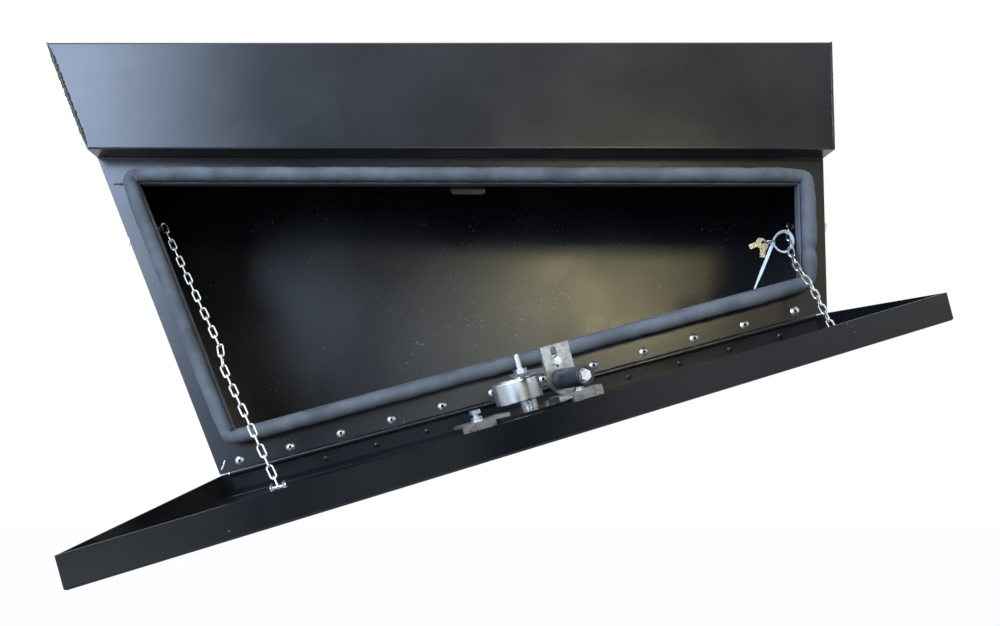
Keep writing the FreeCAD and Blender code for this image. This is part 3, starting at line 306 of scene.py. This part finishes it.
# %% [markdown]
# ## Finishes on the solids
# The box is painted after welding, so its sheets share one coat. The hinge's leaves are
# painted with it, but its rivets on the frame were set later and are bare. The lock's metal is
# plated, but its dish takes the door's black coat. Each solid could be given its material by
# hand. A table of finishes is shorter, and shows at once whether a piece was forgotten.

# %% Assign the finishes
finishes = {
    powder_coat: ["left_side_panel", "right_side_panel", "floor_panel", "hood_panel",
                  "strike_plate", "weld_beads"],
    door_coat: ["door_tray", "latch_dish"],
    wall_coat: ["back_panel"],
    leaf_coat: ["frame_hinge_leaf", "door_hinge_leaf", "door_rivets"],
    aluminium: ["frame_rivets"],
    zinc: ["hinge_pin", "left_chain_bolt", "right_chain_bolt", "left_chain_lug",
           "right_chain_lug", "chain_lug_pins", "latch_sleeve", "clamp_claws", "clamp_screws",
           "clamp_nuts", "spring_drum", "drum_cap", "latch_spring", "index_washer",
           "latch_spindle", "spindle_nut", "cam_plate", "slot_bolt", "slot_nut", "roller_bolt",
           "roller_nut", "roller_washers", "handle_pivot_pin", "t_handle", "key_barrel"],
    galvanised: ["roller_bracket"],
    chain_zinc: ["left_chain_lower", "left_chain_upper", "right_chain_lower",
                 "right_chain_upper"],
    nickel: ["key_ring", "keys"],
    seal_rubber: ["door_seal"],
    gasket_rubber: ["latch_gasket"],
    black_nylon: ["latch_roller"],
    pale_nylon: ["cable_tie"],
}
for material, names in finishes.items():
    for name in names:
        nodes[name].data.materials.clear()
        nodes[name].data.materials.append(material)
finished = {name for names in finishes.values() for name in names}
print("finished nodes:", len(finished), "without a finish:", sorted(set(nodes) - finished))

# %% [markdown]
# ## Front outline
# The front of the box is a sheet with four sides: a level top, an upright right side, a floor
# that climbs to the right, and a left side that leans in. The opening is cut inside it, with a
# different margin on each side. The seal and the welds follow this outline. They could be
# measured from the solids' meshes, but the outline's own few sizes are more exact.

# %% Outline and opening
half_width = 0.450
left_drop = 0.495
left_lean = 0.411
slope = math.radians(15.3)
left_foot = (-half_width + left_lean * left_drop, -left_drop)
right_foot = (half_width, -left_drop + (half_width - left_foot[0]) * math.tan(slope))
outline = [left_foot, right_foot, (half_width, 0.0), (-half_width, 0.0)]


def inset(points, gaps):
    """Move each side of an anticlockwise outline inwards by its own gap."""
    lines = []
    for (ax, az), (bx, bz), gap in zip(points, points[1:] + points[:1], gaps):
        length = math.hypot(bx - ax, bz - az)
        dx, dz = (bx - ax) / length, (bz - az) / length
        lines.append((ax - dz * gap, az + dx * gap, dx, dz))
    corners = []
    for (px, pz, ux, uz), (qx, qz, vx, vz) in zip(lines[-1:] + lines[:-1], lines):
        t = ((qx - px) * vz - (qz - pz) * vx) / (ux * vz - uz * vx)
        corners.append((px + ux * t, pz + uz * t))
    return corners


opening = inset(outline, [0.0412, 0.032, 0.1564, 0.0335])
inner_face = inset(opening, [0.0026] * 4)
print("opening corners, mm:", [(round(x / mm), round(z / mm)) for x, z in opening])

# %% [markdown]
# ## Mesh helpers
# The seal, a weld bead and a tie are all made the same way in a factory or by hand: one
# section is drawn along a path. A curve with a bevel could do that, but its section stays the
# same all the way. So the sweep below takes a list of rings, each a little different, and
# joins them into a skin. The wobble that makes them differ is a sum of sines, and so it is the
# same each time the script runs.

# %% Skin and wobble


def mesh_object(name, points, faces, material, smooth=True):
    """An object of its own from plain points and faces."""
    mesh = bpy.data.meshes.new(name)
    mesh.from_pydata([tuple(p) for p in points], [], faces)
    mesh.materials.append(material)
    if smooth:
        mesh.polygons.foreach_set("use_smooth", [True] * len(mesh.polygons))
    mesh.update()
    made = bpy.data.objects.new(name, mesh)
    bpy.context.scene.collection.objects.link(made)
    return made


def sweep(name, rings, material, closed=True):
    """Join equal rings of points into a skin. Closed joins the last ring to the first."""
    size, count = len(rings[0]), len(rings)
    faces = []
    for i in range(count if closed else count - 1):
        a, b = i * size, (i + 1) % count * size
        for j in range(size):
            k = (j + 1) % size
            faces.append((a + j, b + j, b + k, a + k))
    if not closed:
        faces.append(tuple(range(size)))
        faces.append(tuple((count - 1) * size + j for j in reversed(range(size))))
    made = mesh_object(name, [p for ring in rings for p in ring], faces, material)
    skin = bmesh.new()
    skin.from_mesh(made.data)
    bmesh.ops.recalc_face_normals(skin, faces=skin.faces)
    skin.to_mesh(made.data)
    skin.free()
    return made


def wave(seed, t):
    """A smooth, repeatable wobble between about -1 and 1."""
    return (math.sin(t * 7.1 + seed) + math.sin(t * 13.7 + 2.3 * seed)
            + math.sin(t * 29.3 + 4.1 * seed)) / 3


print("wobble over one metre:", [round(wave(1.0, t / 4), 2) for t in range(5)])

# %% [markdown]
# ## Door seal
# The seal is one length of rubber: a channel that grips the edge of the sheet, with a hollow
# bulb in front of it. A groove parts the bulb from a thin lip round the opening. A fitter
# bends it round the four corners, which pinches the bulb, and butts its ends on the bottom
# strand. A rounded tube would do from far off, but in the photograph the groove, the pinches
# and the joint show. So the path first lists its places, and each place gets its own section.

# %% Path of the seal


def seal_path(step=3.5 * mm, corner_steps=9, corner_reach=16 * mm):
    """Places along the channel: point, way outwards, closeness to a corner, length so far."""
    corners = [Vector((x, 0, z)) for x, z in inner_face]
    path = []
    run = 0.0
    for i, point in enumerate(corners):
        following = corners[(i + 1) % len(corners)]
        back = (corners[i - 1] - point).normalized()
        forward = (following - point).normalized()
        old_out, out = Vector((-back.z, 0, back.x)), Vector((forward.z, 0, -forward.x))
        turn = old_out.angle(out)
        for j in range(corner_steps):
            share = j / corner_steps
            way = (old_out * math.sin(turn * (1 - share))
                   + out * math.sin(turn * share)) / math.sin(turn)
            path.append((point, way.normalized(), 1.0, run))
        length = (following - point).length
        steps = int(length / step)
        for j in range(steps + 1):
            along = length * j / steps
            near = math.exp(-min(along, length - along) / corner_reach)
            path.append((point + forward * along, out, near, run + along))
        run += length
    return path


places = seal_path()
print("seal places:", len(places), "length, mm:", round(places[-1][3] / mm))

# %% Section of the seal
channel_front = -0.0155
bulb_centre_y = -0.0218
bulb_radius = 0.0082
lip_height = 0.0024
(foot_x, foot_z), (heel_x, heel_z) = inner_face[:2]
bottom_length = math.hypot(heel_x - foot_x, heel_z - foot_z)
joint_run = bottom_length * 0.49
pinch_run = bottom_length - 0.2367 - heel_z


def seal_section(point, out, near, run):
    """Closed outline of the seal at one place."""
    nick = math.exp(-(abs(run - joint_run) / 0.0022) ** 2)
    pinch = math.exp(-((run - pinch_run) / 0.006) ** 2)
    squeeze = (1 - 0.16 * near * (0.6 + 0.4 * wave(2.0, run * 60)) - 0.09 * nick
               + 0.025 * wave(3.0, run * 14))
    radius = bulb_radius * (min(1.0, squeeze) - 0.22 * pinch)
    centre_out = 0.0086 + wave(1.0, run * 9) * 0.0005 - 0.0012 * near
    centre_y = bulb_centre_y + (bulb_radius - radius) + 0.0002 * (1 + wave(4.0, run * 11))
    shape = [(0.0074, 0.0), (0.0074, channel_front * 0.5), (0.0088, channel_front + 0.001)]
    for k in range(23):
        angle = math.radians(62 - k * (286 / 22))
        shape.append((centre_out + radius * math.cos(angle), centre_y + radius * math.sin(angle)))
    lip = lip_height * (1 + 0.15 * wave(5.0, run * 20)) * (1 - 0.5 * nick)
    shape += [(0.0011, channel_front + 0.0012), (0.0004, channel_front - lip * 0.6),
              (-0.0001, channel_front - lip), (-0.0008, channel_front - lip * 0.9),
              (-0.0012, channel_front - lip * 0.3), (-0.0012, channel_front + 0.003),
              (-0.0004, channel_front * 0.5), (0.0, 0.0)]
    return [point + out * a + Vector((0, y, 0)) for a, y in shape]


print("joint and pinch along the bottom, mm:", round(joint_run / mm), round(pinch_run / mm))

# %% Seal strand
seal = sweep("seal_strand", [seal_section(*place) for place in places], seal_rubber)
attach(seal, "box")
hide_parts("door_seal")
print("seal points:", len(seal.data.vertices))

# %% [markdown]
# ## Weld beads
# The ends of the hood and two corners of the frame are closed with hand-laid welds under the
# paint. A welder leaves a row of overlapping ripples, one about every 3.4 mm and no two alike.
# The bead at the lower left corner has lost its paint. A bump on a smooth bar would leave its
# outline straight, and the outline is what shows at the hood's edge. So the ripples are made
# in the skin itself.

# %% One bead
ripple_pitch = 0.0034
hood_drop = 0.122


def lay_bead(name, start, end, radius, seed, finish):
    """A ragged bead of weld from start to end."""
    way = (end - start).normalized()
    side = way.cross(Vector((0, 1, 0))).normalized()
    front = Vector((0, -1, 0))
    length = (end - start).length
    steps = max(8, int(length / 0.0011))
    rings = []
    for i in range(steps + 1):
        share = i / steps
        at = share * length
        hump = math.sin(at / ripple_pitch * math.pi + 0.7 * wave(seed, at * 60))
        ripple = 0.5 + 0.5 * abs(hump)
        size = radius * (0.62 + 0.30 * ripple + 0.22 * wave(seed + 1, at * 40))
        size *= min(1.0, 0.25 + share * 8, 0.25 + (1 - share) * 8)
        centre = start + way * at + side * (0.0006 * wave(seed + 2, at * 90))
        turns = [2 * math.pi * k / 12 for k in range(12)]
        rings.append([centre + side * size * 1.25 * math.cos(turn) + front * size * math.sin(turn)
                      for turn in turns])
    made = sweep(name, rings, finish, closed=False)
    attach(made, "box")
    return made


print("ripples on the hood's right end:", round(hood_drop / ripple_pitch))

# %% All five beads
lean = Vector((left_foot[0] + half_width, 0, -left_drop)).normalized()
hood_left = Vector((-half_width + 0.0017, -0.0358, 0))
foot = Vector((left_foot[0], 0.0003, left_foot[1]))
mitre = (Vector((opening[0][0], 0.0003, opening[0][1])) - foot).normalized()
seams = [
    # name, start, end, radius
    ("hood_left_bead", hood_left + lean * 0.003, hood_left + lean * (hood_drop / -lean.z), 0.0021),
    ("hood_right_bead", Vector((0.4484, -0.0358, -0.003)),
     Vector((0.4484, -0.0358, -hood_drop)), 0.0013),
    ("rail_left_bead", Vector((-0.379, 0.0002, -0.1566)),
     Vector((-0.364, 0.0002, -0.1562)), 0.0013),
    ("rail_right_bead", Vector((0.434, 0.0002, -0.1566)),
     Vector((0.446, 0.0002, -0.1562)), 0.0013),
    ("corner_bead", foot + mitre * 0.005, foot + mitre * 0.018, 0.0013),
]
beads = [lay_bead(*seam, seed, galvanised if seam[0] == "corner_bead" else powder_coat)
         for seed, seam in enumerate(seams, 1)]
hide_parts("weld_beads")
print("weld beads:", len(beads))

# %% [markdown]
# ## Cable tie
# The strap leaves its head, goes round the chain in a drop shape and comes back through the
# head. It is moulded thin, with a rib along each edge and fine teeth across it, and it twists
# on its way, so that the straight tail shows its broad side. A curve with a flat bevel would
# be quick, but it has no teeth and its twist is hard to steer. So the drop is drawn as a
# smooth curve through a few knots, and the ribbed section turns along it.

# %% Line of the strap
tie_low, tie_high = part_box("cable_tie")
tie_y = (tie_low[1] + tie_high[1]) / 2
strap_knots = [(387.6, -227.5), (389.6, -220.6), (394.6, -214.9), (401.5, -212.6),
               (407.8, -216.0), (410.5, -223.6), (408.2, -231.8), (401.3, -236.6),
               (393.8, -234.4), (389.6, -229.8), (386.6, -229.2), (380.0, -244.9),
               (372.7, -262.3), (365.4, -279.7)]


def strap_line(knots):
    """Points at most half a millimetre apart, on a smooth curve through the knots."""
    line = [Vector((x * mm, tie_y, z * mm)) for x, z in knots]
    line = [line[0] * 2 - line[1]] + line + [line[-1] * 2 - line[-2]]
    points = []
    for a, b, c, d in zip(line, line[1:], line[2:], line[3:]):
        steps = max(16, int((c - b).length / 0.0005))
        for t in (j / steps for j in range(steps)):
            points.append(0.5 * (2 * b + (c - a) * t + (2 * a - 5 * b + 4 * c - d) * t * t
                                 + (3 * b - a - 3 * c + d) * t ** 3))
    return points + [line[-2]]


strap = strap_line(strap_knots)
print("strap length, mm:", round(sum((b - a).length for a, b in zip(strap, strap[1:])) / mm))

# %% Strap of the tie
strap_half = 0.0018
loop_twist = math.radians(38)
tail_twist = math.radians(72)


def strap_section(point, way, order, share):
    """Rounded strap with two edge ribs, and teeth between them on one side."""
    up = Vector((0, 1, 0)).cross(way).normalized()
    tooth = 0.00016 if order % 2 else 0.0
    half = strap_half * min(1.0, 0.5 + (1 - share) * 3)
    twist = loop_twist + (tail_twist - loop_twist) * min(1.0, max(0.0, (share - 0.5) * 12))
    across = Vector((0, math.cos(twist), 0)) + up * math.sin(twist)
    up = up * math.cos(twist) - Vector((0, math.sin(twist), 0))
    shape = [(-1.0, 0.00035), (-0.8, 0.00055), (-0.62, 0.00052), (-0.5, 0.00028 + tooth),
             (0.5, 0.00028 + tooth), (0.62, 0.00052), (0.8, 0.00055), (1.0, 0.00035),
             (1.0, -0.00035), (0.85, -0.0005), (-0.85, -0.0005), (-1.0, -0.00035)]
    return [point + across * (half * a) + up * b for a, b in shape]


ways = [(b - a).normalized() for a, b in zip(strap[:1] + strap[:-1], strap[1:] + strap[-1:])]
tie = sweep("tie_strap", [strap_section(point, way, i, i / len(strap))
                          for i, (point, way) in enumerate(zip(strap, ways))],
            pale_nylon, closed=False)
print("strap points:", len(tie.data.vertices))

# %% Head of the tie
head_way = Vector((-0.387, 0, -0.922))
head_side = Vector((0, 1, 0)).cross(head_way)
head_at = Vector((387.4 * mm, tie_y, -228.0 * mm))
head_rings = []
for along, grow in ((-2.2, 0.72), (-2.0, 0.94), (-1.2, 1.0), (1.2, 1.0), (2.0, 0.9), (2.2, 0.66)):
    ring = []
    for k in range(16):
        turn = 2 * math.pi * (k + 0.5) / 16
        a, b = (max(-1.0, min(1.0, 1.35 * part)) for part in (math.cos(turn), math.sin(turn)))
        ring.append(head_at + head_way * along * mm + Vector((0, 2.5 * mm * grow * a, 0))
                    + head_side * (1.9 * mm * grow * b))
    head_rings.append(ring)
head = sweep("tie_head", head_rings, pale_nylon, closed=False)
for piece in (tie, head):
    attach(piece, "right_upper_links")
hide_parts("cable_tie")
print("head points:", len(head.data.vertices))

# %% [markdown]
# ## Gasket of the lock
# A flat rubber ring lies under the lock's flange. When the screws are pulled tight it bulges
# a little past its seat. The solid is a plain washer, and a bevel on it would be too regular.
# So its middle, height and radii are read from the solid, and a new ring is swept with a
# swollen rim.

# %% Gasket
lock_way = Vector((-0.262722, -0.093309, 0.960349))
seat = [nodes["latch_gasket"].matrix_world @ v.co for v in nodes["latch_gasket"].data.vertices]
middle = sum(seat, Vector()) / len(seat)
levels = [(p - middle).dot(lock_way) for p in seat]
reaches = [(p - middle - lock_way * level).length for p, level in zip(seat, levels)]
below, above, bore, rim = min(levels), max(levels), min(reaches), max(reaches)
first_side = lock_way.orthogonal().normalized()
second_side = lock_way.cross(first_side)
gasket_rings = []
for i in range(180):
    turn = 2 * math.pi * i / 180
    out = first_side * math.cos(turn) + second_side * math.sin(turn)
    swell = 0.0003 + 0.0001 * wave(6.0, turn * 3)
    profile = ((bore, below), (rim, below), (rim + swell, (below + above) / 2), (rim, above),
               (bore, above))
    gasket_rings.append([middle + out * reach + lock_way * level for reach, level in profile])
gasket = sweep("gasket_ring", gasket_rings, gasket_rubber)
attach(gasket, "door")
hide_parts("latch_gasket")
print("gasket radii, mm:", round(bore / mm, 1), round(rim / mm, 1))

# %% [markdown]
# ## Rivet centres
# A blind rivet is pulled tight by a steel pin, which snaps off and leaves a dark stub in the
# middle of the head. A dark spot in the rivet's material would be flat. Twelve small caps in
# one object catch the light as the stubs do. The rivets lie apart along the hinge, so their
# points are grouped by the gaps between them.

# %% Rivet places


def clusters(name, gap=20 * mm):
    """Groups of a node's points that lie apart along X."""
    place = nodes[name].matrix_world
    points = sorted((place @ v.co for v in nodes[name].data.vertices), key=lambda p: p.x)
    groups = [[points[0]]]
    for before, point in zip(points, points[1:]):
        if point.x - before.x > gap:
            groups.append([])
        groups[-1].append(point)
    return groups


rivets = clusters("frame_rivets")
print("rivets on the frame:", len(rivets))

# %% Mandrel stubs
stub_rings = ((0.0017, 0.0006), (0.0017, -0.0001), (0.0014, -0.0002), (0.0006, -0.0001))
round_steps = 20
stub_points = []
stub_faces = []
for group in rivets:
    front = min(p.y for p in group)
    x = (min(p.x for p in group) + max(p.x for p in group)) / 2
    z = (min(p.z for p in group) + max(p.z for p in group)) / 2
    start = len(stub_points)
    for radius, rise in stub_rings:
        for k in range(round_steps):
            turn = 2 * math.pi * k / round_steps
            stub_points.append((x + radius * math.cos(turn), front + rise,
                                z + radius * math.sin(turn)))
    for level in range(len(stub_rings) - 1):
        for k in range(round_steps):
            a = start + level * round_steps + k
            b = start + level * round_steps + (k + 1) % round_steps
            stub_faces.append((a, b, b + round_steps, a + round_steps))
    last = start + (len(stub_rings) - 1) * round_steps
    stub_faces.append(tuple(last + k for k in range(round_steps)))
mandrels = mesh_object("rivet_mandrels", stub_points, stub_faces, mandrel_steel)
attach(mandrels, "box")
print("mandrel stubs:", len(stub_points) // (len(stub_rings) * round_steps))

# %% [markdown]
# ## Floor and background
# A photographer would stand the box on a white sweep of paper. Lighting that until it burns
# out would also light the box from below. So here the white is added to the floor and the
# world, and only for rays that come straight from the camera, a mirror or clear plastic. The
# floor still takes the box's shadow, because its own shading is added to the white. A dark
# card stands in front, behind the camera. Studios use one to keep black paint black, and only
# reflections see it. The floor is matt painted board with a faint cloud about 400 mm across,
# and the card is matt black felt with a nap that is drawn as 8 mm blobs.

# %% Rays that see the white


def seen_directly(tree):
    """One for camera, mirror and clear rays, nought for light that bounces softly."""
    path = add(tree, "ShaderNodeLightPath")
    either = add(tree, "ShaderNodeMath", {"operation": "MAXIMUM"},
                 i0=path.outputs["Is Camera Ray"], i1=path.outputs["Is Glossy Ray"]).outputs[0]
    return add(tree, "ShaderNodeMath", {"operation": "MAXIMUM"}, i0=either,
               i1=path.outputs["Is Transmission Ray"]).outputs[0]


def matt_board(name, dark, pale, cloud_mm, rough, white=0.0):
    """Matt board or felt; white is how much of the background's white is added to it."""
    material, tree, where = blank_material(name)
    cloud = add(tree, "ShaderNodeTexNoise", Vector=where, Scale=per(cloud_mm), Detail=2.0,
                Roughness=0.5).outputs["Fac"]
    board = add(tree, "ShaderNodeValToRGB", {"stops": [(0.3, colour(dark)),
                (0.7, colour(pale))]}, Fac=cloud).outputs["Color"]
    shader = add(tree, "ShaderNodeBsdfPrincipled", Base_Color=board, Roughness=rough)
    if white:
        strength = add(tree, "ShaderNodeMath", {"operation": "MULTIPLY"},
                       i0=seen_directly(tree), i1=white).outputs[0]
        glow = add(tree, "ShaderNodeEmission", Color=colour("#ffffff"), Strength=strength)
        shader = add(tree, "ShaderNodeAddShader", i0=shader.outputs[0], i1=glow.outputs[0])
    add(tree, "ShaderNodeOutputMaterial", i0=shader.outputs[0])
    return material


print("board and felt ready")

# %% Floor and card
far, level = 6, -1.0
floor = mesh_object("floor", [(-far, -far, level), (far, -far, level), (far, far, level),
                              (-far, far, level)],
                    [(0, 1, 2, 3)], matt_board("pale_floor", "#66696d", "#6b6e72", 400, 0.9, 0.88),
                    smooth=False)
card_left, card_right, card_y, card_low, card_high = -1.3, 2.9, -3.4, -0.99, 1.35
card = mesh_object("black_card", [(card_left, card_y, card_low), (card_right, card_y, card_low),
                                  (card_right, card_y, card_high), (card_left, card_y, card_high)],
                   [(0, 1, 2, 3)], matt_board("black_card", "#0c0e10", "#121417", 8, 0.95),
                   smooth=False)
card.visible_camera = card.visible_diffuse = card.visible_shadow = False
print("floor and card:", floor.name, card.name)

# %% World
world = bpy.data.worlds.new("studio")
bpy.context.scene.world = world
world.use_nodes = True
sky = world.node_tree
sky.nodes.clear()
ambient = add(sky, "ShaderNodeBackground", Color=colour("#aebccd"), Strength=0.42)
white = add(sky, "ShaderNodeBackground", Color=colour("#ffffff"), Strength=1.0)
choose = add(sky, "ShaderNodeMixShader", Fac=seen_directly(sky), i1=ambient.outputs[0],
             i2=white.outputs[0])
add(sky, "ShaderNodeOutputWorld", i0=choose.outputs[0])
print("world:", world.name)

# %% [markdown]
# ## Lights
# Black gloss paint shows its lamps more than its colour, so each lamp is a soft panel whose
# reflection is wanted somewhere. A tall cool panel at the left makes the blue sheen on the
# left ends of the hood and frame. A small warm panel by the camera makes the glow on the back
# wall, with a paler one beside it. A wide low panel in front is the horizon in the plated
# pieces, with a faint haze above it and a patch of bright ground below. A pale panel at the
# right and a broad one above fill the rest. A sky image would be quicker, but it would give
# this black box no control over where the sheens fall.

# %% Panels
panels = [
    # name, place, aim, width and height in metres, watts, colour
    ("left_panel", (-1.43, -2.2, 0.45), (-0.2, 0, -0.3), (0.9, 1.9), 84, "#c4dcff"),
    ("warm_panel", (0.58, -2.0, 0.08), (0.2, 0, -0.3), (0.30, 0.22), 7, "#fff0b4"),
    ("glow_panel", (0.22, -2.0, -0.02), (0.05, 0, -0.3), (0.42, 0.24), 1.7, "#f3f3e4"),
    ("horizon_panel", (0.3, -3.0, -0.25), (0, 0, -0.25), (1.2, 0.75), 4.7, "#dcebff"),
    ("low_panel", (0.15, -3.0, -0.98), (0.15, -2.999, 2), (1.0, 1.4), 9, "#e6eef2"),
    ("haze_panel", (0.0, -3.0, 0.85), (0, 0, -0.1), (1.7, 0.5), 0.9, "#cfe0ee"),
    ("right_panel", (2.2, -2.0, 0.28), (0.2, -0.1, -0.1), (3.0, 0.85), 3.0, "#eef2ea"),
    ("top_panel", (0.2, -1.0, 2.2), (0, -0.1, -0.3), (2.2, 1.6), 30, "#dfe9f6"),
]
for name, place, aim, (width, height), watts, tint in panels:
    light = bpy.data.lights.new(name, "AREA")
    light.shape = "RECTANGLE"
    light.size, light.size_y = width, height
    light.energy = watts
    light.color = colour(tint)[:3]
    lamp = bpy.data.objects.new(name, light)
    lamp.location = place
    lamp.rotation_euler = (Vector(aim) - Vector(place)).to_track_quat("-Z", "Y").to_euler()
    bpy.context.scene.collection.objects.link(lamp)
print("panels:", len(panels), "watts in all:", sum(panel[4] for panel in panels))

# %% [markdown]
# ## Camera
# The camera stands a little over a metre in front of the box, low, and looks slightly up at
# it, as somebody crouching beside the truck would. It could be moved by eye until the corners
# agree, but its place, turn and lens were solved from the box's own corners, which is more
# exact. The frame is shifted, because the box doesn't sit in the middle of the picture. The
# view transform is Standard, so that a hex colour comes out as it is written.

# %% Camera
lens = bpy.data.cameras.new("photo_camera")
lens.sensor_fit = "HORIZONTAL"
lens.sensor_width = 36.0
lens.lens = 36.0 * 1011.81 / 1000
lens.shift_x, lens.shift_y = 0.07239, 0.05589
lens.clip_start = 0.01
camera = bpy.data.objects.new("photo_camera", lens)
bpy.context.scene.collection.objects.link(camera)
turned = Euler((-0.07832, 0.00357, -0.01328), "XYZ").to_matrix().transposed()
upright = Euler((math.radians(90), 0, 0), "XYZ").to_matrix()
stand = Matrix.Translation((0.00606, -1.16113, -0.46358))
camera.matrix_world = stand @ (turned @ upright).to_4x4()
bpy.context.scene.camera = camera
bpy.context.scene.view_settings.view_transform = "Standard"
print("lens, mm:", round(lens.lens, 2))
